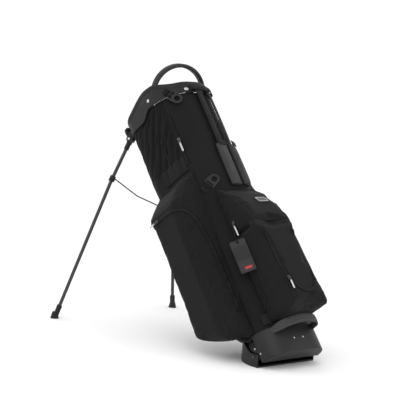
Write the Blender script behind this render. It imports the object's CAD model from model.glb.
"""Golf stand bag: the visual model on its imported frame.

Bag parts are drawn in the bag's own upright frame, in millimetres: x to the spine,
y to the far side, z up the bag. BAG leans them back over the legs.
"""
from math import atan2, cos, degrees, hypot, pi, radians, sin, sqrt

import bmesh
import bpy
from mathutils import Matrix, Vector, noise
from mathutils.bvhtree import BVHTree


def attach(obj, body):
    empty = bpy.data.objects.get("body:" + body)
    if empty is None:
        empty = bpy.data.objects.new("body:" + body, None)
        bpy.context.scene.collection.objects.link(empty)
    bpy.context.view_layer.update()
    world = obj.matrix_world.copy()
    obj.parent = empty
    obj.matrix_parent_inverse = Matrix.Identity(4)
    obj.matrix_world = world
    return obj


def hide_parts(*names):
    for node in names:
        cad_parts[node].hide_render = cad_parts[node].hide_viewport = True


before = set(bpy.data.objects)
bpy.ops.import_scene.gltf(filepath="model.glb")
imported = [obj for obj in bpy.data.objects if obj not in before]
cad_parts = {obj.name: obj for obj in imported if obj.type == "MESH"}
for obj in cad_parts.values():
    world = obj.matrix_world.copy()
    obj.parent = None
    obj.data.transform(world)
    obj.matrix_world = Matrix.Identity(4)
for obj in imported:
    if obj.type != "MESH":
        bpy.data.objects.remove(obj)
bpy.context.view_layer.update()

MM = 0.001
LEAN = radians(38)
LIFT = 12               # the bag frame's origin over the ground
BAG = Matrix.Translation((0, 0, LIFT * MM)) @ Matrix.Rotation(-LEAN, 4, "Y")
GROUND = Matrix.Identity(4)
SIDES = ((-1, "near"), (1, "far"))

# the tube, as in the CAD
FRONT, BACK, HALF = 112, 120, 112
R_LEG, R_BASE, R_TOP = 45, 62, 100
HEM_Z, HEM_GROUND = 45, 66
BODY_TOP = 866
CLOTH_FRAMES = 20       # how long a padded piece is blown up for


# ---------------------------------------------------------------- materials

class Nodes:
    """A material's node tree, with short ways to add to it."""

    def __init__(self, name):
        self.material = bpy.data.materials.new(name)
        self.material.use_nodes = True
        self.tree = self.material.node_tree
        self.shader = self.tree.nodes["Principled BSDF"]

    def add(self, kind, **inputs):
        node = self.tree.nodes.new(kind)
        for key, value in inputs.items():
            self.put(node.inputs[key.replace("_", " ")], value)
        return node

    def put(self, socket, value):
        if isinstance(value, bpy.types.NodeSocket):
            self.tree.links.new(value, socket)
        else:
            socket.default_value = value

    def math(self, operation, a, b=0.0):
        node = self.tree.nodes.new("ShaderNodeMath")
        node.operation = operation
        self.put(node.inputs[0], a)
        self.put(node.inputs[1], b)
        return node.outputs[0]

    def mix(self, factor, a, b):
        node = self.tree.nodes.new("ShaderNodeMix")
        node.data_type = "RGBA"
        self.put(node.inputs[0], factor)
        self.put(node.inputs[6], a)
        self.put(node.inputs[7], b)
        return node.outputs[2]

    def ramp(self, value, low, high):
        """value, stretched so that low gives 0 and high gives 1."""
        node = self.add("ShaderNodeMapRange", From_Min=low, From_Max=high)
        self.put(node.inputs["Value"], value)
        return node.outputs["Result"]

    def object_noise(self, scale, detail=3.0):
        place = self.tree.nodes.new("ShaderNodeTexCoord").outputs["Object"]
        node = self.add("ShaderNodeTexNoise", Vector=place, Scale=scale, Detail=detail)
        return node.outputs["Fac"]

    def bump(self, height, strength, distance, under=None):
        node = self.add("ShaderNodeBump", Height=height, Strength=strength, Distance=distance)
        if under is not None:
            self.put(node.inputs["Normal"], under)
        return node.outputs["Normal"]

    def set(self, **inputs):
        for key, value in inputs.items():
            self.put(self.shader.inputs[key.replace("_", " ")], value)


def rgb(r, g, b):
    """An opaque colour."""
    return (r, g, b, 1.0)


def woven(name, slot, dark, light, pitch, depth, sheen=0.05, rough=0.72, ribbed=False):
    n = Nodes(name)
    uv = n.add("ShaderNodeUVMap")
    uv.uv_map = "cloth"
    size = n.tree.nodes.new("ShaderNodeVectorMath")
    size.operation = "SCALE"
    n.put(size.inputs[0], uv.outputs["UV"])
    size.inputs["Scale"].default_value = 1.0 / pitch
    split = n.add("ShaderNodeSeparateXYZ", Vector=size.outputs[0])
    warp = n.math("ABSOLUTE", n.math("SINE", n.math("MULTIPLY", split.outputs["X"], pi)))
    weft = n.math("ABSOLUTE", n.math("SINE", n.math("MULTIPLY", split.outputs["Y"], pi)))
    if ribbed:
        height = n.math("ADD", n.math("MULTIPLY", weft, 0.35), warp)
    else:
        checker = n.add("ShaderNodeTexChecker", Vector=size.outputs[0], Scale=1.0)
        over = n.math("MULTIPLY", warp, checker.outputs["Fac"])
        under = n.math("MULTIPLY", weft, n.math("SUBTRACT", 1.0, checker.outputs["Fac"]))
        height = n.math("ADD", over, under)
    patches = n.object_noise(9.0)
    fuzz = n.object_noise(900.0, 1.0)
    tone = n.math("ADD", n.math("MULTIPLY", height, 0.55), n.math("MULTIPLY", patches, 0.45))
    n.set(Base_Color=n.mix(tone, dark, light))
    n.set(Roughness=n.math("ADD", n.math("MULTIPLY", fuzz, 0.15), rough - 0.075))
    n.set(Sheen_Weight=sheen, Sheen_Roughness=0.45, Specular_IOR_Level=0.14)
    soft = n.bump(n.object_noise(60.0), 0.25, 0.0012)
    n.set(Normal=n.bump(height, 0.9, depth, soft))
    return n.material, slot


def moulded(name, slot, dark, light, rough, grain=0.00012, scale=1400.0):
    """Moulded plastic, rubber or thread with a fine grain."""
    n = Nodes(name)
    patches = n.object_noise(14.0)
    spots = n.object_noise(scale, 2.0)
    n.set(Base_Color=n.mix(n.ramp(patches, 0.35, 0.65), dark, light))
    n.set(Roughness=n.math("ADD", n.math("MULTIPLY", spots, 0.16), rough - 0.08))
    n.set(Specular_IOR_Level=0.32)
    n.set(Normal=n.bump(spots, 0.6, grain))
    return n.material, slot


def metal(name, slot, dark, light, rough, metallic=1.0, brush=(1, 1, 40)):
    """Metal with fine drawn lines and small changes of polish."""
    n = Nodes(name)
    place = n.tree.nodes.new("ShaderNodeTexCoord").outputs["Object"]
    stretch = n.add("ShaderNodeMapping", Vector=place)
    stretch.inputs["Scale"].default_value = brush
    lines = n.add("ShaderNodeTexNoise", Vector=stretch.outputs[0], Scale=160.0, Detail=4.0)
    n.set(Base_Color=n.mix(lines.outputs["Fac"], dark, light), Metallic=metallic)
    n.set(Roughness=n.math("ADD", n.math("MULTIPLY", lines.outputs["Fac"], 0.2), rough - 0.1))
    n.set(Normal=n.bump(lines.outputs["Fac"], 0.3, 0.00006))
    return n.material, slot


NYLON = woven("ballistic_nylon", "nylon", rgb(.0026, .0024, .0028), rgb(.0095, .0088, .01),
              .0011, .00022, sheen=0.03)
GUSSET = woven("soft_nylon", "nylon", rgb(.0018, .0016, .002), rgb(.0058, .0053, .0062),
               .0008, .00014, sheen=0.015)
LINING = woven("lining_cloth", "lining", rgb(.012, .012, .013), rgb(.03, .03, .032),
               .0009, .0001)
WEB = woven("webbing_ribs", "webbing", rgb(.0032, .0032, .0035), rgb(.012, .0117, .0123),
            .0018, .0004, ribbed=True)
PAD = woven("spacer_mesh", "padding", rgb(.022, .0215, .0225), rgb(.066, .065, .067),
            .0016, .0004)
TAPE = woven("zip_cloth", "zip_tape", rgb(.0022, .0022, .0024), rgb(.006, .006, .0064),
             .0007, .0001, sheen=0.02)
TEETH = moulded("zip_coil", "zip_tape", rgb(.004, .004, .0045), rgb(.011, .011, .012), 0.42)
THREAD = moulded("sewing_thread", "nylon", rgb(.0055, .0055, .0058), rgb(.014, .0137, .0144),
                 0.65)
MOULD = moulded("moulded_nylon", "moulding", rgb(.0035, .0034, .0036), rgb(.0062, .0061, .0064),
                0.52)
BOOT = moulded("boot_plastic", "moulding", rgb(.0065, .0065, .0068), rgb(.0108, .0108, .0112),
               0.5)
GRIP = moulded("handle_plastic", "handle_skin", rgb(.0095, .0095, .0098),
               rgb(.0155, .0155, .016), 0.48, grain=.0002, scale=700.0)
RUBBER = moulded("tip_rubber_skin", "tip_rubber", rgb(.012, .012, .012), rgb(.024, .024, .024),
                 0.78)
LEATHER = moulded("tag_leather", "tag_sheet", rgb(.011, .011, .0115), rgb(.023, .0225, .0235),
                  0.58, grain=.0004, scale=380.0)
RED = moulded("tag_red_mark", "tag_sheet", rgb(.30, .018, .022), rgb(.42, .03, .035), 0.5)
BRIGHT = metal("satin_nickel", "bright_metal", rgb(.42, .42, .43), rgb(.68, .68, .69), 0.32)
GUN = metal("gunmetal", "bright_metal", rgb(.055, .055, .058), rgb(.13, .13, .135), 0.38)
LEG = metal("black_anodised", "leg_metal", rgb(.035, .035, .037), rgb(.075, .075, .078), 0.36,
            metallic=0.75)
STEEL = metal("black_steel", "dark_steel", rgb(.03, .03, .031), rgb(.07, .07, .072), 0.4,
              metallic=0.8)


# ---------------------------------------------------------------- mesh tools

def smooth(t):
    """0 to 1, easing at both ends."""
    t = min(1.0, max(0.0, t))
    return t * t * (3 - 2 * t)


def lay_cloth(mesh):
    """Box-projected UVs in metres, so that a weave keeps its real size."""
    layer = mesh.uv_layers.get("cloth") or mesh.uv_layers.new(name="cloth")
    for face in mesh.polygons:
        n = face.normal
        flat = max(range(3), key=lambda i: abs(n[i]))
        a, b = ((1, 2), (0, 2), (0, 1))[flat]
        for i in face.loop_indices:
            co = mesh.vertices[mesh.loops[i].vertex_index].co
            layer.data[i].uv = (co[a], co[b])


def finish_mesh(mesh, look, crease=35):
    """Gives a mesh its material, its cloth UVs and smooth faces with true edges."""
    work = bmesh.new()
    work.from_mesh(mesh)
    bmesh.ops.recalc_face_normals(work, faces=work.faces)
    work.to_mesh(mesh)
    work.free()
    mesh.materials.clear()
    mesh.materials.append(look[0])
    mesh.polygons.foreach_set("use_smooth", [True] * len(mesh.polygons))
    mesh.polygons.foreach_set("material_index", [0] * len(mesh.polygons))
    mesh.set_sharp_from_angle(angle=radians(crease))
    if "cloth" not in mesh.uv_layers:
        lay_cloth(mesh)


def put(name, mesh, look, body="bag", space=BAG, crease=35, stands_for=()):
    """A finished mesh, in metres in its space, as a piece riding on a body."""
    finish_mesh(mesh, look, crease)
    obj = bpy.data.objects.new(name, mesh)
    bpy.context.scene.collection.objects.link(obj)
    obj.matrix_world = space
    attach(obj, body)
    if stands_for:
        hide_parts(*stands_for)
    return obj


def mesh_of(name, points, faces):
    """A mesh from points in millimetres."""
    mesh = bpy.data.meshes.new(name)
    mesh.from_pydata([Vector(p) * MM for p in points], [], faces)
    mesh.update()
    return mesh


def piece(name, chunk, look, body="bag", **more):
    """A piece from points in millimetres and their faces."""
    return put(name, mesh_of(name, *chunk), look, body, **more)


def grid_faces(rows, columns, loop=False):
    """Quads of a grid of points, row after row; loop joins the last column to the first."""
    faces = []
    for i in range(rows - 1):
        for j in range(columns if loop else columns - 1):
            k = (j + 1) % columns
            faces.append((i * columns + j, i * columns + k,
                          (i + 1) * columns + k, (i + 1) * columns + j))
    return faces


def rounded(points, rounds=3, closed=False):
    """A path of straight runs with its corners cut round."""
    points = [Vector(p) for p in points]
    for _ in range(rounds):
        fresh = [] if closed else [points[0]]
        pairs = list(zip(points, points[1:] + ([points[0]] if closed else [])))
        for a, b in pairs:
            fresh += [a.lerp(b, 0.25), a.lerp(b, 0.75)]
        if not closed:
            fresh.append(points[-1])
        points = fresh
    return points


def even(points, step):
    """The same path with evenly spaced points."""
    points = [Vector(p) for p in points]
    lengths = [0.0]
    for a, b in zip(points, points[1:]):
        lengths.append(lengths[-1] + (b - a).length)
    count = max(2, round(lengths[-1] / step))
    out, j = [], 0
    for i in range(count + 1):
        goal = lengths[-1] * i / count
        while j < len(points) - 2 and lengths[j + 1] < goal:
            j += 1
        run = lengths[j + 1] - lengths[j]
        out.append(points[j].lerp(points[j + 1], (goal - lengths[j]) / run if run else 0))
    return out


def sweep(points, normals, section, closed=False, taper=None):
    """Points and faces of a section (side, out) carried along a path, capped at open ends."""
    count, ring = len(points), len(section)
    verts, faces = [], []
    for i, p in enumerate(points):
        a = points[i - 1] if i or closed else p
        b = points[(i + 1) % count] if i < count - 1 or closed else p
        way = (b - a).normalized()
        out = normals[i] if isinstance(normals, list) else normals
        side = way.cross(out).normalized()
        up = side.cross(way)
        size = taper(i / (count - 1)) if taper else 1.0
        verts += [p + side * (s * size) + up * (h * size) for s, h in section]
    for i in range(count if closed else count - 1):
        k = (i + 1) % count
        for j in range(ring):
            m = (j + 1) % ring
            faces.append((i * ring + j, i * ring + m, k * ring + m, k * ring + j))
    if not closed:
        faces.append(tuple(reversed(range(ring))))
        faces.append(tuple((count - 1) * ring + j for j in range(ring)))
    return verts, faces


def disc(radius, count=10):
    """A round section."""
    return [(radius * cos(2 * pi * i / count), radius * sin(2 * pi * i / count))
            for i in range(count)]


def slab(wide, thick, low=0.0, soft=0.8):
    """A flat section with softened corners, lying from low to low + thick."""
    w, t = wide / 2, thick
    s = min(soft, t * 0.45)
    return [(-w + s, low), (w - s, low), (w, low + s), (w, low + t - s), (w - s, low + t),
            (-w + s, low + t), (-w, low + t - s), (-w, low + s)]


def join(chunks):
    """Several (points, faces) as one."""
    verts, faces = [], []
    for v, f in chunks:
        base = len(verts)
        verts += v
        faces += [tuple(i + base for i in face) for face in f]
    return verts, faces


def run(name, points, normals, section, look, body="bag", closed=False, taper=None, crease=50,
        stands_for=()):
    """A swept piece."""
    chunk = sweep(points, normals, section, closed, taper)
    return piece(name, chunk, look, body, crease=crease, stands_for=stands_for)


def block(size, bevel, at=(0, 0, 0), steps=2):
    """Points and faces of a box with rounded edges."""
    work = bmesh.new()
    bmesh.ops.create_cube(work, size=1.0, matrix=Matrix.Diagonal((*size, 1)))
    bmesh.ops.bevel(work, geom=work.edges[:], offset=bevel, segments=steps, affect="EDGES",
                    profile=0.5)
    verts = [v.co + Vector(at) for v in work.verts]
    faces = [tuple(v.index for v in f.verts) for f in work.faces]
    work.free()
    return verts, faces


def plate(outline, thick, bevel, hole=()):
    """A flat plate from an outline in its own x, y, with one optional hole and rounded rims."""
    rings = ((bevel, 0), (0, bevel), (0, thick - bevel), (bevel, thick))

    def grown(loop, inset):
        out = []
        for i, p in enumerate(loop):
            a, b = Vector(loop[i - 1]), Vector(loop[(i + 1) % len(loop)])
            way = (b - a).normalized()
            out.append((p[0] - way.y * inset, p[1] + way.x * inset))
        return out
    n = len(outline)
    verts, faces = [], []
    for inset, z in rings:
        verts += [Vector((x, y, z)) for x, y in grown(outline, inset)]
    for i in range(3):
        for j in range(n):
            k = (j + 1) % n
            faces.append((i * n + j, i * n + k, (i + 1) * n + k, (i + 1) * n + j))
    if not hole:
        faces += [tuple(reversed(range(n))), tuple(3 * n + j for j in range(n))]
        return verts, faces
    base = len(verts)
    for inset, z in rings:
        verts += [Vector((x, y, z)) for x, y in grown(hole, -inset)]
    for i in range(3):
        for j in range(n):
            k = (j + 1) % n
            faces.append((base + i * n + k, base + i * n + j,
                          base + (i + 1) * n + j, base + (i + 1) * n + k))
    for j in range(n):
        k = (j + 1) % n
        faces.append((k, j, base + j, base + k))
        faces.append((3 * n + j, 3 * n + k, base + 3 * n + k, base + 3 * n + j))
    return verts, faces


def rounded_box(wide, tall, radius, count=24, at=(0, 0)):
    """Outline of a rounded rectangle, count points, counterclockwise."""
    points = []
    quarter = count // 4
    for q, (sx, sy) in enumerate(((1, 1), (-1, 1), (-1, -1), (1, -1))):
        for i in range(quarter):
            a = pi / 2 * (q + i / (quarter - 1))
            points.append((at[0] + sx * (wide / 2 - radius) + radius * cos(a),
                           at[1] + sy * (tall / 2 - radius) + radius * sin(a)))
    return points


def placed(chunk, at, x, z):
    """A chunk moved so that its x and z axes point along x and z, at a point."""
    z = Vector(z).normalized()
    x = (Vector(x) - z * Vector(x).dot(z)).normalized()
    turn = Matrix((x, z.cross(x), z)).transposed()
    verts, faces = chunk
    return [turn @ Vector(v) + Vector(at) for v in verts], faces


def stitches(name, points, normals, body="bag", pitch=4.4, long=2.9):
    """One row of sewn stitches along a path."""
    radius = 0.42
    line = even(points, pitch)
    source = [Vector(p) for p in points]
    chunks, j = [], 0
    for a, b in zip(line, line[1:]):
        mid = (a + b) / 2
        while j < len(source) - 1 and (source[j + 1] - mid).length < (source[j] - mid).length:
            j += 1
        out = normals[j] if isinstance(normals, list) else normals
        way = (b - a).normalized()
        side = way.cross(out).normalized()
        ends = [mid - way * long / 2, mid + way * long / 2]
        ring = [side * radius, out * radius, -side * radius, -out * radius]
        verts = [ends[0] - out * radius] + [mid + r for r in ring] + [ends[1] - out * radius]
        verts += [mid + r + way * long * 0.3 for r in ring]
        for i in range(4):
            verts[1 + i] -= way * long * 0.3
        faces = []
        for i in range(4):
            k = (i + 1) % 4
            faces += [(0, 1 + k, 1 + i), (1 + i, 1 + k, 6 + k, 6 + i), (5, 6 + i, 6 + k)]
        chunks.append((verts, faces))
    return piece(name, join(chunks), THREAD, body)


# ---------------------------------------------------------------- the tube's surface

def ring_radius(angle, z, grow=0.0):
    """Distance from the bag's axis to the tube's surface, at an angle and a height."""
    c, s = cos(angle), sin(angle)
    face = (FRONT if c >= 0 else BACK) + grow
    corner = (R_BASE + (R_TOP - R_BASE) * min(1, max(0, z / 850)) if c >= 0 else R_LEG) + grow
    wide = HALF + grow
    c, s = abs(c), abs(s)
    if c > 1e-6 and face / c * s <= wide - corner:
        return face / c
    if s > 1e-6 and wide / s * c <= face - corner:
        return wide / s
    cx, cy = face - corner, wide - corner
    b = c * cx + s * cy
    return b + sqrt(max(0.0, b * b - (cx * cx + cy * cy - corner * corner)))


def at_angle(angle, z, grow=0.0):
    """The tube's surface at an angle in degrees."""
    a = radians(angle)
    r = ring_radius(a, z, grow)
    return Vector((r * cos(a), r * sin(a), z))


def out_of(angle, z):
    """Outward direction of the tube's surface there."""
    along = at_angle(angle + 0.5, z) - at_angle(angle - 0.5, z)
    return Vector((along.y, -along.x, 0)).normalized()


def ground_line(x, height):
    """Height up the bag of a level line over the ground."""
    return (height - LIFT - x * sin(LEAN)) / cos(LEAN)


def noisy(x, y, z, size, seed=0.0):
    """Smooth noise of a given size in millimetres, -1 to 1."""
    return noise.noise(Vector((x / size + seed, y / size - seed, z / size)))


def gusset_share(angle, z):
    """How far a point is in the soft gusset under the collar, 0 to 1."""
    a = abs(angle)
    across = smooth((a - 57) / 9) * smooth((172 - a) / 14)
    return across * smooth((z - 560) / 90) * smooth((862 - z) / 26)


def shell_push(angle, z):
    """How far the fabric stands off the tube's plain surface."""
    p = at_angle(angle, z)
    soft = gusset_share(angle, z)
    push = 0.9 * noisy(p.x, p.y, p.z, 90, 3.1)
    # the spine panel is foam backed and stands a little proud
    push += 2.2 * smooth((54 - abs(angle)) / 3.0) * smooth((860 - z) / 8) * smooth((z - 505) / 12)
    # folds hang straight down in the loose gusset
    across = p.x - 0.62 * (z - 750) + (10 if angle > 0 else 0)
    wander = 11 * noisy(p.x, p.y, p.z, 70, 7.7)
    fold = abs(sin(pi * (across + wander) / 31))
    fold = 1 - fold ** 0.7
    fold += 0.5 * (1 - abs(sin(pi * (across * 1.7 - wander * 1.3) / 31)) ** 0.6)
    fold *= 0.75 + 0.5 * noisy(p.x, p.y, p.z, 45, 1.3)
    # the waist drags in over the side pocket, but not at the corner by the legs
    drag = 1 - smooth((abs(angle) - 104) / 22)
    push += soft * (3.5 - 9.0 * fold * (0.45 + 0.55 * drag) * smooth((z - 600) / 120))
    push -= soft * drag * (6.0 * smooth((790 - z) / 90) + 5 * smooth((700 - z) / 60))
    return push


def shell_point(angle, z, lift=0.0):
    """The visible fabric's surface."""
    grow = shell_push(angle, z) + lift
    return at_angle(angle, z, 0) + out_of(angle, z) * grow


def body_skin():
    """The woven tube with its gusset folds, hem and inner lining."""
    columns, rows = 240, 190
    verts, uv = [], []
    around = [0.0]
    for j in range(1, columns + 1):
        a = at_angle(360 * j / columns, 500)
        b = at_angle(360 * (j - 1) / columns, 500)
        around.append(around[-1] + (a - b).length)
    for layer in (0, 1):
        for i in range(rows):
            for j in range(columns):
                angle = 360 * j / columns
                angle = angle - 360 if angle > 180 else angle
                low = max(HEM_Z, ground_line(at_angle(angle, 60).x, HEM_GROUND))
                z = low + (BODY_TOP - 1 - low) * i / (rows - 1)
                lift = -2.6 * layer
                lift -= 1.0 * smooth((z - (BODY_TOP - 34)) / 6) * (angle < -100 or angle > 100)
                lift -= 1.4 * smooth((z - (BODY_TOP - 9)) / 6)
                verts.append(shell_point(angle, z, lift))
    faces = grid_faces(rows, columns, loop=True)
    inner = rows * columns
    faces += [tuple(inner + i for i in reversed(f)) for f in faces[:]]
    for j in range(columns):
        k = (j + 1) % columns
        faces.append((k, j, inner + j, inner + k))
        top = (rows - 1) * columns
        faces.append((top + j, top + k, inner + top + k, inner + top + j))
    mesh = mesh_of("body_skin", verts, faces)
    layer = mesh.uv_layers.new(name="cloth")
    for face in mesh.polygons:
        columns_here = [mesh.loops[i].vertex_index % columns for i in face.loop_indices]
        wraps = max(columns_here) - min(columns_here) > 1
        for i, c in zip(face.loop_indices, columns_here):
            co = mesh.vertices[mesh.loops[i].vertex_index].co
            u = around[columns] if wraps and c == 0 else around[c]
            layer.data[i].uv = (u * MM, co.z)
    skin = put("body_skin", mesh, NYLON, stands_for=("body_shell",), crease=60)
    skin.data.materials.append(GUSSET[0])
    skin.data.materials.append(LINING[0])
    for face in skin.data.polygons:
        c = face.center / MM
        angle = degrees(atan2(c.y, c.x))
        if face.vertices[0] >= inner:
            face.material_index = 2
        elif abs(angle) > 57 and c.z > 655:
            face.material_index = 1


# ---------------------------------------------------------------- soft pieces from CAD solids

def node_mesh(node, space=BAG):
    """A copy of a CAD node's mesh in a space, welded."""
    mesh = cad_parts[node].data.copy()
    mesh.transform(space.inverted())
    work = bmesh.new()
    work.from_mesh(mesh)
    bmesh.ops.remove_doubles(work, verts=work.verts, dist=1e-5)
    work.to_mesh(mesh)
    work.free()
    while mesh.uv_layers:
        mesh.uv_layers.remove(mesh.uv_layers[0])
    return mesh


def through(mesh, build):
    """The mesh after modifiers that build() adds to its object."""
    obj = bpy.data.objects.new("work", mesh)
    bpy.context.scene.collection.objects.link(obj)
    build(obj)
    if any(m.type == "CLOTH" for m in obj.modifiers):
        for number in range(1, CLOTH_FRAMES + 1):
            bpy.context.scene.frame_set(number)
    graph = bpy.context.evaluated_depsgraph_get()
    out = bpy.data.meshes.new_from_object(obj.evaluated_get(graph))
    bpy.data.objects.remove(obj)
    bpy.context.scene.frame_set(1)
    return out


def voxels(mesh, size, smoothing=0):
    """The mesh remade from even quads of that size, in millimetres."""
    def build(obj):
        remesh = obj.modifiers.new("remesh", "REMESH")
        remesh.mode = "VOXEL"
        remesh.voxel_size = size * MM
        if smoothing:
            relax = obj.modifiers.new("relax", "SMOOTH")
            relax.factor = 0.5
            relax.iterations = smoothing
    return through(mesh, build)


def keep_off_tube(mesh, gap=0.6):
    """Pushes points out of the tube, where a pocket lies against it."""
    for v in mesh.vertices:
        p = v.co / MM
        angle = atan2(p.y, p.x)
        need = ring_radius(angle, p.z) + gap
        r = hypot(p.x, p.y)
        if p.z > 40 and r < need:
            v.co.x *= need / r
            v.co.y *= need / r


def stuffed(name, node, voxel, shrink, pressure, cap, look=NYLON, on_tube=True):
    """A soft CAD solid as a filled fabric form, blown up by cloth simulation."""
    mesh = voxels(node_mesh(node), voxel, 2)
    for v in mesh.vertices:
        v.co -= v.normal * shrink * MM
    start = [v.co.copy() for v in mesh.vertices]
    def build(obj):
        held = obj.vertex_groups.new(name="held")
        for v in obj.data.vertices:
            p = v.co / MM
            near = hypot(p.x, p.y) - ring_radius(atan2(p.y, p.x), p.z)
            if on_tube and near < 4:
                held.add([v.index], 1.0, "REPLACE")
        cloth = obj.modifiers.new("cloth", "CLOTH")
        cloth.settings.use_pressure = True
        cloth.settings.uniform_pressure_force = pressure
        cloth.settings.vertex_group_mass = "held"
        cloth.settings.shrink_min = -0.02
        cloth.settings.effector_weights.gravity = 0
    mesh = through(mesh, build)
    for v, was in zip(mesh.vertices, start):
        move = v.co - was
        if move.length > cap * MM:
            v.co = was + move.normalized() * cap * MM
    if on_tube:
        keep_off_tube(mesh)

    def refine(obj):
        finer = obj.modifiers.new("finer", "SUBSURF")
        finer.levels = finer.render_levels = 1
    mesh = through(mesh, refine)
    soft = put(name, mesh, look, crease=80, stands_for=(node,))
    return soft


class Surface:
    """A finished piece's surface, in millimetres in the bag's frame, for laying seams on."""

    def __init__(self, obj):
        verts = [v.co / MM for v in obj.data.vertices]
        self.tree = BVHTree.FromPolygons(verts, [f.vertices[:] for f in obj.data.polygons])

    def lay(self, points, way, lift=0.0):
        """The points thrown along a direction onto the surface: places and normals."""
        places, normals = [], []
        way = Vector(way).normalized()
        for p in points:
            hit, normal, _, _ = self.tree.ray_cast(Vector(p) - way * 200, way)
            if hit is None:
                hit, normal, _, _ = self.tree.find_nearest(Vector(p))
            if normal.dot(way) > 0:
                normal = -normal
            places.append(hit + normal * lift)
            normals.append(normal)
        last = len(normals) - 1
        for _ in range(3):
            normals = [(normals[max(0, i - 1)] + n * 2 + normals[min(last, i + 1)]).normalized()
                       for i, n in enumerate(normals)]
        return places, normals

    def wrap(self, points, lift=0.0):
        """The points moved straight in to the surface from around the bag."""
        places, normals = [], []
        for p in points:
            hit, normal = self.lay([p], (-p.x, -p.y, 0), lift)
            places += hit
            normals += normal
        return places, normals


def on_tube(path, lift=0.0):
    """Angle and height pairs on the visible fabric: places and normals."""
    places = [shell_point(a, z, lift) for a, z in path]
    return places, [out_of(a, z) for a, z in path]


# ---------------------------------------------------------------- trims

def zipper(name, points, normals, node, wide=15):
    """A coil zip: its tape, and the coil of teeth up the middle."""
    run(name + "_tape", points, normals, slab(wide, 1.1, -0.3), TAPE, stands_for=node)
    chunks = []
    line = even(points, 1.55)
    j = 0
    for i, (a, b) in enumerate(zip(line, line[1:])):
        mid = (a + b) / 2
        while j < len(points) - 1 and (points[j + 1] - mid).length < (points[j] - mid).length:
            j += 1
        side = (b - a).normalized().cross(normals[j])
        lean = 1 if i % 2 else -1
        tooth = block((3.6, 1.15, 1.5), 0.35, (lean * 0.9, 0, 1.2), 1)
        chunks.append(placed(tooth, mid, side, normals[j]))
    piece(name + "_coil", join(chunks), TEETH)


def piping(name, skin, path, way, radius=1.6):
    """A cord of piping laid on a finished piece."""
    points, normals = skin.lay(path, way, 0.1)
    run(name, points, normals, disc(radius, 8), WEB)


def side_rows(points, normals, offset):
    """A path moved sideways along the surface."""
    out = []
    for i, p in enumerate(points):
        a, b = points[max(0, i - 1)], points[min(len(points) - 1, i + 1)]
        out.append(p + (b - a).normalized().cross(normals[i]).normalized() * offset)
    return out


def puller(name, at, down, out, node, tab=30):
    """Zip slider with a bridge, and its bright hanging tab."""
    chunks = [block((13, 9, 1.2), 0.5, (0, 0, 1.9)), block((13, 9, 1.2), 0.5, (0, 0, 4.2)),
              block((9, 3.2, 3.2), 0.6, (-0.5, 0, 3.0))]
    bridge = rounded([(-5, 0, 4.6), (-4, 0, 7.4), (4, 0, 7.4), (5, 0, 4.6)], 2)
    chunks.append(sweep(bridge, Vector((0, 1, 0)), disc(0.9, 8)))
    ring = [Vector((5.5 + 3.6 * cos(a), 3.0 * sin(a), 6.2)) for a in
            (2 * pi * i / 16 for i in range(16))]
    chunks.append(sweep(ring, Vector((0, 0, 1)), disc(0.8, 6), closed=True))
    shape = rounded_box(tab, 5.4, 2.2, 24, (8.5 + tab / 2, 0))
    hole = rounded_box(4.0, 2.4, 1.1, 24, (12.2, 0))
    tongue = plate(shape, 1.9, 0.5, hole)
    tongue = ([Vector((x, y, z + 4.6 - 0.05 * max(0, x - 8))) for x, y, z in tongue[0]], tongue[1])
    slider = join([placed(c, at, down, out) for c in chunks])
    piece(name, slider, GUN, node, stands_for=(node,))
    piece(name + "_tab", placed(tongue, at, down, out), BRIGHT, node)


def softened(name, node, look, body, size, smoothing, space=BAG):
    """A moulded CAD part with its edges rounded as a mould leaves them."""
    mesh = voxels(node_mesh(node, space), size, smoothing)
    return put(name, mesh, look, body, space, crease=80, stands_for=(node,))


def eased(name, node, look, body, radius=0.8, space=BAG, steps=2):
    """A hard CAD part with small radii on its edges."""
    mesh = node_mesh(node, space)
    work = bmesh.new()
    work.from_mesh(mesh)
    bmesh.ops.dissolve_limit(work, angle_limit=radians(2), verts=work.verts, edges=work.edges)
    work.to_mesh(mesh)
    work.free()

    def build(obj):
        bevel = obj.modifiers.new("ease", "BEVEL")
        bevel.width = radius * MM
        bevel.segments = steps
        bevel.limit_method = "ANGLE"
        bevel.angle_limit = radians(40)
    mesh = through(mesh, build)
    return put(name, mesh, look, body, space, crease=35, stands_for=(node,))


def paint(node, look):
    """A CAD part that stays, with a better material."""
    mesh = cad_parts[node].data
    mesh.materials.clear()
    mesh.materials.append(look[0])
    mesh.polygons.foreach_set("material_index", [0] * len(mesh.polygons))


# ---------------------------------------------------------------- camera, light and floor

def stand_camera():
    """Camera at the photograph's view, a little above the bag and rolled slightly."""
    turn, tilt, roll = radians(46), radians(6.92), radians(-4.417)
    aim = Vector((-0.194, 0, 0.388))
    ahead = Vector((-sin(turn) * cos(tilt), cos(turn) * cos(tilt), -sin(tilt)))
    across = Vector((cos(turn), sin(turn), 0))
    over = across.cross(ahead)
    right = across * cos(roll) - over * sin(roll)
    up = across * sin(roll) + over * cos(roll)
    focal = 1381.4
    place = aim - ahead * 4.1874
    ahead = (ahead * focal - right * 39.9 + up * 21.8).normalized()
    right = (right - ahead * right.dot(ahead)).normalized()
    up = right.cross(ahead)
    camera = bpy.data.cameras.new("camera")
    camera.sensor_width = 36
    camera.lens = focal * 36 / 400
    camera.clip_end = 50
    obj = bpy.data.objects.new("camera", camera)
    bpy.context.scene.collection.objects.link(obj)
    axes = Matrix((right, up, -ahead)).transposed().to_4x4()
    obj.matrix_world = Matrix.Translation(place) @ axes
    bpy.context.scene.camera = obj


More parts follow.
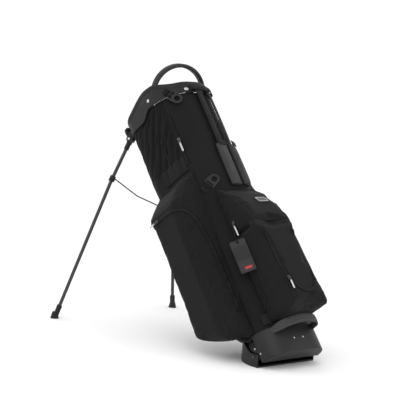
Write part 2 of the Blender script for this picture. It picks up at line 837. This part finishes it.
def lamp(name, place, aim, size, power):
    """A square soft light."""
    light = bpy.data.lights.new(name, "AREA")
    light.shape = "RECTANGLE"
    light.size, light.size_y = size
    light.energy = power
    obj = bpy.data.objects.new(name, light)
    bpy.context.scene.collection.objects.link(obj)
    obj.location = place
    obj.rotation_euler = (Vector(aim) - Vector(place)).to_track_quat("-Z", "Y").to_euler()


def studio():
    """A white sweep of floor under soft light from above and both sides."""
    work = bmesh.new()
    bmesh.ops.create_grid(work, x_segments=12, y_segments=12, size=9)
    mesh = bpy.data.meshes.new("floor")
    work.to_mesh(mesh)
    work.free()
    paper = Nodes("paper")
    grain = paper.object_noise(3.0)
    paper.set(Base_Color=paper.mix(grain, rgb(.965, .965, .965), rgb(.975, .975, .975)),
              Roughness=0.92)
    mesh.materials.append(paper.material)
    floor = bpy.data.objects.new("floor", mesh)
    bpy.context.scene.collection.objects.link(floor)
    world = bpy.data.worlds.new("soft")
    world.use_nodes = True
    sky = world.node_tree.nodes["Background"]
    sky.inputs["Color"].default_value = (1, 1, 1, 1)
    sky.inputs["Strength"].default_value = 1.04
    bpy.context.scene.world = world
    bpy.context.scene.view_settings.view_transform = "Standard"
    lamp("key", (1.6, -2.2, 3.0), (-0.2, 0, 0.4), (2.4, 2.4), 34)
    lamp("rim", (2.8, 1.6, 1.6), (-0.1, 0, 0.5), (1.6, 2.2), 9)
    lamp("left", (-2.6, -2.4, 1.8), (-0.2, 0, 0.5), (1.8, 2.2), 12)


# ---------------------------------------------------------------- the collar and handle

def rim_height(x):
    """The collar's saddle: low at the spine and the legs, high on both shoulders."""
    return 889 + 37 * smooth((x + 128) / 150) - 23 * smooth((x - 44) / 60)


def collar_low(x):
    """The collar's lower edge, which drops on the leg side."""
    return 863 - 24 * smooth((18 - x) / 50)


def collar():
    """Moulded collar with a rolled rim and a step under it."""
    around = 220
    verts = []
    profile = [(5.2, 0, 0), (6.2, 0, 1.6), (6.4, 0, 6), (6.2, 1, -19), (5.2, 1, -17.6),
               (5.2, 1, -16.2), (6.9, 1, -14.6), (7.4, 1, -9), (7.0, 1, -3.4), (5.2, 1, -0.8),
               (2.8, 1, 0), (0.6, 1, -0.9), (-0.8, 1, -3.6), (-1.0, 1, -9), (-1.0, 2, 3),
               (0.3, 2, 0.6), (0.3, 0, 1)]
    for grow, where, dz in profile:
        for j in range(around):
            angle = 360 * j / around
            p = at_angle(angle, 880)
            base = (collar_low(p.x), rim_height(p.x), BODY_TOP)[where]
            q = at_angle(angle, base + dz)
            verts.append(q + out_of(angle, base) * grow)
    faces = grid_faces(len(profile), around, loop=True)
    last = (len(profile) - 1) * around
    for j in range(around):
        k = (j + 1) % around
        faces.append((last + j, last + k, k, j))
    mesh = mesh_of("collar", verts, faces)

    def refine(obj):
        finer = obj.modifiers.new("finer", "SUBSURF")
        finer.levels = finer.render_levels = 1
    put("collar", through(mesh, refine), MOULD, crease=60, stands_for=("top_cuff",))


def grab_handle():
    """Moulded bail from shoulder to shoulder, thicker where the hand goes."""
    foot, apex = Vector((46, -103, 905)), Vector((103, 0, 973))
    lean = (apex - foot)
    lean.y = 0
    points = []
    for i in range(61):
        a = pi * i / 60
        points.append(Vector((foot.x, foot.y * cos(a), foot.z)) + lean * sin(a))
    flat = Vector((lean.z, 0, -lean.x)).normalized()
    section = rounded_box(11.6, 22, 5.2, 24)
    run("grab_handle", points, flat, section, GRIP, stands_for=("top_handle",),
        taper=lambda t: 0.92 + 0.14 * sin(pi * t), crease=60)


def cuff_fasteners():
    """Domed rivets, each on a washer."""
    spots = (("near", "cuff_rivet_near", ((-78, 886),)),
             ("spine", "cuff_rivet_spine", ((-17, 874), (-13.6, 874))),
             ("far", "cuff_rivet_far", ((78, 886),)))
    for name, node, places in spots:
        chunks = []
        for angle, z in places:
            at = at_angle(angle, z) + out_of(angle, z) * 6.0
            chunks.append(dome(at, out_of(angle, z), 4.1, 2.2))
        piece("rivet_" + name, join(chunks), BRIGHT, stands_for=(node,))


def dome(at, out, radius, tall):
    """A rivet head: washer edge and a shallow dome."""
    profile = [(radius * 1.25, 0), (radius * 1.25, 0.5), (radius, 0.8), (radius * .94, tall * .55),
               (radius * .7, tall * .85), (radius * .35, tall), (0.01, tall * 1.02)]
    verts = [(r * cos(2 * pi * j / 20), r * sin(2 * pi * j / 20), h)
             for r, h in profile for j in range(20)]
    faces = grid_faces(len(profile), 20, loop=True)
    faces.append(tuple(range(19, -1, -1)))
    out = Vector(out)
    across = Vector((0, 0, 1)) if abs(out.z) < 0.9 else Vector((1, 0, 0))
    return placed((verts, faces), at, across, out)


# ---------------------------------------------------------------- seams and trims on the tube

def tube_trims():
    """Piping, hem band and stitch rows on the woven tube."""
    for side, name in SIDES:
        seam = [(side * 54, z) for z in range(505, 858, 4)]
        points, normals = on_tube(seam, 0.2)
        run("spine_seam_" + name, points, normals, disc(1.5, 8), WEB)
        stitches("spine_stitch_" + name, *on_tube([(a - side * 2.6, z) for a, z in seam], 0.3))
    hem = []
    for j in range(0, 361, 2):
        angle = j - 180
        x = at_angle(angle, 60).x
        hem.append((angle, max(HEM_Z, ground_line(x, HEM_GROUND)) + 1.5))
    points, normals = on_tube(hem[:-1], 0.0)
    run("hem_binding", points, normals, slab(9, 1.2, -0.2), WEB, closed=True)
    for n, rise in enumerate((9, 15)):
        stitches("hem_stitch_%d" % n, *on_tube([(a, z + rise) for a, z in hem], 0.2))


def glove_patch():
    """Patch with a hem band and double stitching under the gusset, on the near side."""
    low, high, first, last = 610, 662, -112, -59
    columns = 40
    verts = []
    for lift_z, lift in ((0, 0.4), (0.6, 2.2), (3, 2.8), (high - low - 3, 2.8),
                         (high - low - 0.6, 2.2), (high - low, 0.4)):
        for j in range(columns):
            angle = first + (last - first) * j / (columns - 1)
            edge = 0.4 if j in (0, columns - 1) else lift
            verts.append(shell_point(angle, low + lift_z, edge + 1.2))
    faces = grid_faces(6, columns)
    base = len(verts)
    verts += [p - out_of(degrees(atan2(p.y, p.x)), p.z) * 2.4 for p in verts]
    faces += [tuple(base + i for i in reversed(f)) for f in faces[:]]
    rims = [[(i, 0) for i in range(6)], [(i, columns - 1) for i in range(6)],
            [(0, j) for j in range(columns)], [(5, j) for j in range(columns)]]
    for rim in rims:
        for (a, b), (c, d) in zip(rim, rim[1:]):
            p, q = a * columns + b, c * columns + d
            faces.append((p, q, base + q, base + p))
    piece("glove_patch_cloth", (verts, faces), NYLON, stands_for=("glove_patch",), crease=60)
    for n, z in enumerate((614, 619, 656)):
        row = [(first + 2 + (last - first - 4) * j / 30, z) for j in range(31)]
        stitches("glove_stitch_%d" % n, *on_tube(row, 4.0))


def upper_zip():
    """Zip up the near edge of the spine panel, with its pull."""
    points, normals = on_tube([(-56.5, z) for z in range(628, 800, 3)], 1.2)
    zipper("upper_zip", points, normals, node=("zip_upper",), wide=13)
    at = at_angle(-55, 712) + out_of(-55, 712) * 6.5
    puller("upper_zip_pull", at, (0, 0, -1), out_of(-55, 712), "pull_upper", tab=32)


# ---------------------------------------------------------------- pockets

def side_pocket(side, name):
    """Long padded apparel pocket with its curved zip, piping and stitch rows."""
    pocket = stuffed("apparel_pocket_" + name, "side_pocket_" + name, 6.0, 2.2, 3.0, 7)
    skin = Surface(pocket)
    inward = (0, -side, 0)
    way = rounded([(-70, side * 190, 500), (16, side * 186, 500), (58, side * 132, 470),
                   (60, side * 128, 130)], 4)
    points, normals = skin.wrap(even(way, 4), 0.2)
    zipper("side_zip_" + name, points, normals, node=("zip_" + name,), wide=15)
    for n, offset in enumerate((-11.5, 11.5)):
        stitches("side_zip_stitch_%s_%d" % (name, n),
                 *skin.wrap(side_rows(points, normals, offset), 0.3))
    at = Vector((-60, side * 186.8, 500))
    hit, _ = skin.lay([at], inward, 1.5)
    at.y = side * max(abs(hit[0].y), 186.0)
    puller("side_zip_pull_" + name, at, (-1, 0, 0), (0, side, 0), "pull_" + name, tab=28)
    edge = rounded([(70, side * 150, 560), (33, side * 184, 505), (33, side * 184, 74)], 3)
    piping("side_piping_" + name, skin, even(edge, 5), (-0.45, -side * 0.9, 0), 1.7)
    back = [(-102, side * 190, 505), (-102, side * 190, 196)]
    piping("side_back_piping_" + name, skin, even(back, 5), inward)
    shoulder = [(-102, side * 190, 519), (30, side * 190, 519)]
    piping("side_top_piping_" + name, skin, even(shoulder, 5), (0, -side * 0.85, -0.5))


def spine_pockets():
    """Ball pocket under the valuables pocket, parted by a covered seam."""
    ball = stuffed("ball_pocket_cloth", "ball_pocket", 5.5, 2.0, 3.0, 6)
    top = stuffed("valuables_pocket_cloth", "valuables_pocket", 5.0, 1.8, 3.0, 6)
    low, high = Surface(ball), Surface(top)
    u_shape = rounded([(240, -56, 313), (240, -56, 105), (240, 56, 105), (240, 56, 313)], 4)
    points, normals = low.lay(even(u_shape, 4), (-1, 0, 0), 0.2)
    zipper("ball_zip", points, normals, node=("zip_ball",), wide=15)
    for n, offset in enumerate((-11.5, 11.5)):
        stitches("ball_zip_stitch_%d" % n,
                 *low.lay(side_rows(points, normals, offset), (-1, 0, 0), 0.3))
    at = Vector((221.0, -56, 150.2))
    hit, _ = low.lay([at], (-1, 0, 0), 1.5)
    at.x = max(hit[0].x, at.x)
    puller("ball_zip_pull", at, (0.0689, 0, -0.9976), (0.9976, 0, 0.0689), "pull_ball", tab=28)
    wall = [(130, -100, z) for z in range(102, 340, 4)]
    points, normals = low.lay(wall, (0, 1, 0), 0.2)
    zipper("centre_zip", points, normals, node=("zip_centre",), wide=12)
    at = Vector((130, -80.6, 384))
    puller("centre_zip_pull", at, (0, 0, -1), (0, -1, 0), "pull_centre", tab=34)
    # the two pockets meet on the level line at this height
    split = 348
    ring = [Vector((y, x, split)) for x, y in rounded_box(2 * 78, 2 * 203, 22, 48) if y > 118]
    ring.sort(key=lambda p: atan2(p.y, p.x - 60))
    places, normals = [], []
    for p in even(ring, 5):
        out = Vector((max(0, p.x - 150), p.y, 0)).normalized()
        hit, _ = low.lay([p + Vector((0, 0, -4))], -out, 0.6)
        places.append(Vector((hit[0].x, hit[0].y, split)))
        normals.append(out)
    run("pocket_parting", places, normals, slab(15, 1.6, -0.6), WEB)
    for n, rise in enumerate((-5.5, 5.5)):
        stitches("parting_stitch_%d" % n, [p + Vector((0, 0, rise)) + o * 0.9
                                           for p, o in zip(places, normals)], normals)
    rim = rounded([(74, -100, 504), (110, -100, 490), (147, -100, 444), (187, -100, 394),
                   (201, -100, 352)], 3)
    for side, name in SIDES:
        line = [Vector((p.x, side * 72, p.z)) for p in rim]
        piping("valuables_piping_" + name, high, even(line, 5), (-0.75, 0, -0.66))
    for side, name in SIDES:
        line = [(250, side * 74, z) for z in range(92, 340, 5)]
        piping("ball_piping_" + name, low, line, (-0.9, -side * 0.44, 0))
    return high


def badge(high):
    """Blank metal plate with a bright rim, on a cloth backing."""
    a, b = Vector((150, 0, 470)), Vector((180, 0, 420))
    along = (a - b).normalized()
    out = Vector((along.z, 0, -along.x))
    mid = (a + b) / 2 + Vector((0, 20, 0)) - along * 14
    hit, _ = high.lay([mid], -out)
    at = hit[0]
    backing = plate(rounded_box(52, 36, 5), 1.4, 0.5)
    blank = plate(rounded_box(40, 24, 4), 2.0, 0.7)
    rim = plate(rounded_box(40, 24, 4), 0.8, 0.3, rounded_box(35, 19, 2.4))
    piece("badge_backing", placed(backing, at - out * 0.6, (0, 1, 0), out), WEB)
    piece("badge_blank", placed(blank, at + out * 0.7, (0, 1, 0), out), GUN,
          stands_for=("badge_plate",))
    piece("badge_rim", placed(rim, at + out * 2.5, (0, 1, 0), out), BRIGHT)


# ---------------------------------------------------------------- straps, buckles, handle, tag

def straps():
    """Webbing and the two padded shoulder straps that hang down the spine."""
    for name, angle, at, pad_at in (("near", 4, 123.1, 122.4), ("far", 27, 127.0, 129.5)):
        a = radians(angle)
        out = Vector((cos(a), sin(a), 0))
        across = Vector((-sin(a), cos(a), 0))
        points = [out * (at + 1.6 * sin(pi * (z - 660) / 222)) + Vector((0, 0, z))
                  for z in range(660, 883, 4)]
        run("strap_webbing_" + name, points, out, slab(25, 2.2, -1.1), WEB,
            stands_for=("strap_web_" + name,))
        for n, edge in enumerate((-9.5, 9.5)):
            row = [p + across * edge + out * 1.2 for p in points]
            stitches("strap_stitch_%s_%d" % (name, n), row, out, pitch=5)
        pad = stuffed("shoulder_pad_" + name, "strap_pad_" + name, 4.0, 1.2, 4.0, 5, PAD,
                      on_tube=False)
        skin = Surface(pad)
        rows = [[out * 160 + across * s + Vector((0, 0, z)) for z in range(530, 662, 4)]
                for s in (-15, 15)]
        for n, row in enumerate(rows):
            stitches("pad_stitch_%s_%d" % (name, n), *skin.lay(row, -out, 0.2), pitch=4)
        for z in (560, 595, 630):
            row = [out * 160 + across * s + Vector((0, 0, z)) for s in range(-15, 16, 3)]
            stitches("pad_channel_%s_%d" % (name, z), *skin.lay(row, -out, 0.2), pitch=4)
        keeper = [out * (pad_at + 7) + across * s + Vector((0, 0, 668)) + out * 1.2
                  for s in (-15, -8, 0, 8, 15)]
        run("strap_keeper_" + name, keeper, out, slab(16, 2.4, -0.4), WEB)


def anchor():
    """Webbing across the collar that both straps are sewn to."""
    points, normals = [], []
    for j in range(32):
        angle = -12 + 62 * j / 31
        points.append(at_angle(angle, 875) + out_of(angle, 875) * 14.2)
        normals.append(out_of(angle, 875))
    points[0] -= normals[0] * 7.4
    points[-1] -= normals[-1] * 7.4
    points[1] -= normals[1] * 3.0
    points[-2] -= normals[-2] * 3.0
    run("anchor_webbing", points, normals, slab(15, 2.4, -0.4), WEB, stands_for=("strap_anchor",))


def buckle(name, angle, z, turn, out_at):
    """Moulded D with a webbing slot, and the sewn loop that it turns in."""
    a = radians(angle)
    out = Vector((cos(a), sin(a), 0))
    up = Vector((0, 0, 1))
    x = up * cos(radians(turn)) + out.cross(up) * sin(radians(turn))
    y = out.cross(x)
    at = out * out_at + up * z
    bar = [at + x * (-16.75) + y * s + out * 2.5 for s in (-13.5, -5, 5, 13.5)]
    chunks = [sweep(bar, out, rounded_box(4.4, 4.6, 1.8, 16))]
    outline = [(-19, -17), (12, -17), (24, -8), (24, 8), (12, 17), (-19, 17)]
    body = rounded([Vector((px * 0.93, py * 0.9, 0)) for px, py in outline], 3)
    body = [at + x * p.x + y * p.y + out * 2.5 for p in even(body, 2.0)]
    chunks.append(sweep(body, out, rounded_box(5.6, 5.0, 1.6, 16)))
    cross = [at + x * (-6.0) + y * s + out * 2.5 for s in (-15, -5, 5, 15)]
    chunks.append(sweep(cross, out, rounded_box(6.4, 4.8, 1.6, 16)))
    outer, inner = rounded_box(30, 30, 12, 32, (9, 0)), rounded_box(18, 17, 8, 32, (8, 0))
    web = plate(outer, 3.0, 0.8, inner)
    chunks.append(placed(([v + Vector((0, 0, 1.0)) for v in web[0]], web[1]), at, x, out))
    piece("buckle_d_" + name, join(chunks), BOOT, "buckle_" + name,
          stands_for=("buckle_" + name,))
    loop = []
    for i in range(19):
        t = radians(200 - 290 * i / 18)
        loop.append(at + x * (-16.75 + 4.9 * cos(t)) + out * (2.5 + 4.9 * sin(t)))
    loop = [at + x * (-43) - out * 1.2, at + x * (-32) - out * 1.2] + loop
    normals = [out, out] + [(p - (at + x * (-16.75) + out * 2.5)).normalized() for p in loop[2:]]
    run("buckle_loop_" + name, loop, normals, slab(23, 1.6, -0.8), WEB,
        stands_for=("buckle_tab_" + name,))
    for n, edge in enumerate((-9, 9)):
        row = [at + x * s + y * edge - out * 0.2 for s in range(-42, -23, 3)]
        stitches("buckle_stitch_%s_%d" % (name, n), row, out)
    for n, s in enumerate((-41, -25)):
        row = [at + x * s + y * e - out * 0.2 for e in range(-9, 10, 3)]
        stitches("buckle_bar_%s_%d" % (name, n), row, out)


def base_handle():
    """Padded lift handle round the spine, over its webbing."""
    points = rounded([(104, -84, 40), (154, -68, 43), (174, 0, 46), (154, 68, 43),
                      (104, 84, 40)], 4)
    points = even(points, 4)
    section = [(-12.4, -2.2), (-12.9, 0), (-12.4, 2.2), (-9, 3.0), (-8.4, 2.5), (-7.8, 3.1),
               (-2.6, 3.5), (-2.0, 2.9), (2.0, 2.9), (2.6, 3.5), (7.8, 3.1), (8.4, 2.5), (9, 3.0),
               (12.4, 2.2), (12.9, 0), (12.4, -2.2), (6, -3), (-6, -3)]
    normals = []
    for i, p in enumerate(points):
        a, b = points[max(0, i - 1)], points[min(len(points) - 1, i + 1)]
        normals.append((b - a).cross(Vector((0, 0, 1))).normalized())
    band = run("base_lift_handle", points, normals, section, PAD, stands_for=("lift_handle",),
               taper=lambda t: 0.72 + 0.28 * smooth(6 * min(t, 1 - t)))
    for side, name in SIDES:
        at = at_angle(side * 40, 40)
        out = out_of(side * 40, 40)
        run("handle_root_" + name, [at + out * 6.2 + Vector((0, 0, z)) for z in (24, 34, 44, 54)],
            out, slab(24, 2.0, -0.6), WEB)


TAG_AT = Vector((131, -101, 326))
TAG_X = Vector((0.67, 0.742, 0)).normalized()
TAG_OUT = Vector((0.742, -0.67, 0)).normalized()


def on_tag(x, y, z):
    """A point drawn on the tag, in the bag's frame."""
    return TAG_AT + TAG_X * x + TAG_OUT.cross(TAG_X) * y + TAG_OUT * z


def tag_piece(name, plate_made, rise, look, **more):
    """A flat plate of the tag, raised off its back."""
    verts, faces = plate_made
    verts = [on_tag(v.x, v.y, v.z + rise) for v in verts]
    piece(name, (verts, faces), look, "tag", **more)


def soft_loop(name, route, radius, body, node):
    """A cord on a smooth curve through places in the bag's frame."""
    curve = bpy.data.curves.new(name, "CURVE")
    curve.dimensions = "3D"
    curve.bevel_depth = radius * MM
    curve.bevel_resolution = 4
    curve.resolution_u = 12
    line = curve.splines.new("NURBS")
    line.points.add(len(route) - 1)
    for point, p in zip(line.points, route):
        point.co = (*(BAG @ (p * MM)), 1)
    line.order_u = 3
    line.use_endpoint_u = True
    curve.materials.append(WEB[0])
    loop = bpy.data.objects.new(name, curve)
    bpy.context.scene.collection.objects.link(loop)
    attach(loop, body)
    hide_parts(node)
    return loop, BAG @ (route[0] * MM)


def tag():
    """Stitched luggage tag with a plain red bar, on a loop of cord."""
    hole = rounded_box(6.6, 6.6, 3.2, 40, (0, -8))
    tag_piece("tag_body", plate(rounded_box(48, 104, 5, 40, (0, -52)), 2.6, 0.8, hole), 0,
              LEATHER, stands_for=("luggage_tag",))
    tag_piece("tag_window", plate(rounded_box(38, 40, 3, 24, (0, -42)), 1.0, 0.4), 2.3, MOULD)
    tag_piece("tag_bar", plate(rounded_box(22, 8, 1.4, 24, (3, -91)), 0.7, 0.25), 2.4, RED)
    edge = rounded_box(43, 99, 3.5, 40, (0, -52))
    edge = [on_tag(px, py, 2.6) for px, py in edge + edge[:1]]
    stitches("tag_stitch", edge, TAG_OUT, "tag", pitch=4.0, long=2.5)
    route = ((0, 22, -3.5), (0, 14, 6), (0, -8, 6), (0, -8, -3.5), (0, 12, -5), (0, 22, -3.9))
    return soft_loop("tag_loop", [on_tag(*p) for p in route], 1.3, "tag", "tag_cord")


def towel_cord():
    """Thin loop of cord standing off the far side of the collar, for a towel."""
    a = radians(62)
    route = ((123.2, 888), (129, 888), (134, 884), (133, 863), (132, 842), (126, 838),
             (117.4, 838))
    route = [Vector((out_at * cos(a), out_at * sin(a), z)) for out_at, z in route]
    return soft_loop("towel_cord", route, 1.6, "bag", "towel_loop")


# ---------------------------------------------------------------- hard parts

def hard_parts():
    """CAD parts with eased edges, and those that stay as they are with a better material."""
    eased("divider_bars", "club_divider", MOULD, "bag", 1.2)
    eased("leg_bar", "leg_bracket", MOULD, "bag", 1.0)
    eased("crosshead", "slider", MOULD, "slider", 1.2)
    for name in ("upper", "lower"):
        eased("guide_" + name, "rod_guide_" + name, MOULD, "bag", 1.2)
    softened("boot", "base_boot", BOOT, "bag", 2.0, 3)
    softened("rocker_foot", "base_foot", BOOT, "foot", 1.8, 3, GROUND)
    for name in ("near", "far"):
        eased("leg_top_" + name, "leg_head_" + name, MOULD, "leg_" + name, 0.7)
        eased("leg_clamp_" + name, "leg_collar_" + name, MOULD, "leg_" + name, 0.7)
        softened("leg_boot_" + name, "leg_tip_" + name, RUBBER, "leg_" + name, 1.2, 2)
        paint("leg_tube_" + name, LEG)
        paint("leg_pin_" + name, BRIGHT)
        paint("base_pin_" + name, GUN)
        paint("link_" + name, STEEL)
    paint("actuator_rod", STEEL)
    paint("divider_panel", LINING)


def base_details():
    """Rivets on the boot and foot."""
    chunks = []
    for angle, z in ((-9, 8), (9, 8)):
        at = at_angle(angle, z) + out_of(angle, z) * 4.8
        chunks.append(dome(at, out_of(angle, z), 2.3, 1.3))
    for side in (-1, 1):
        chunks.append(dome((48, side * 116.8, 14), (0, side, 0), 2.3, 1.3))
        chunks.append(dome((62, side * 116.6, -8), (0, side, 0), 2.3, 1.3))
    piece("boot_rivets", join(chunks), BRIGHT)


# ---------------------------------------------------------------- assembly

stand_camera()
studio()
body_skin()
collar()
grab_handle()
cuff_fasteners()
tube_trims()
glove_patch()
upper_zip()
for pocket_side, pocket_name in SIDES:
    side_pocket(pocket_side, pocket_name)
badge(spine_pockets())
straps()
anchor()
buckle("upper", -38, 850, 215, 128)
buckle("lower", -34, 546, -62, 123)
base_handle()
tag_loop, tag_exit = tag()
towel, towel_exit = towel_cord()
hard_parts()
base_details()
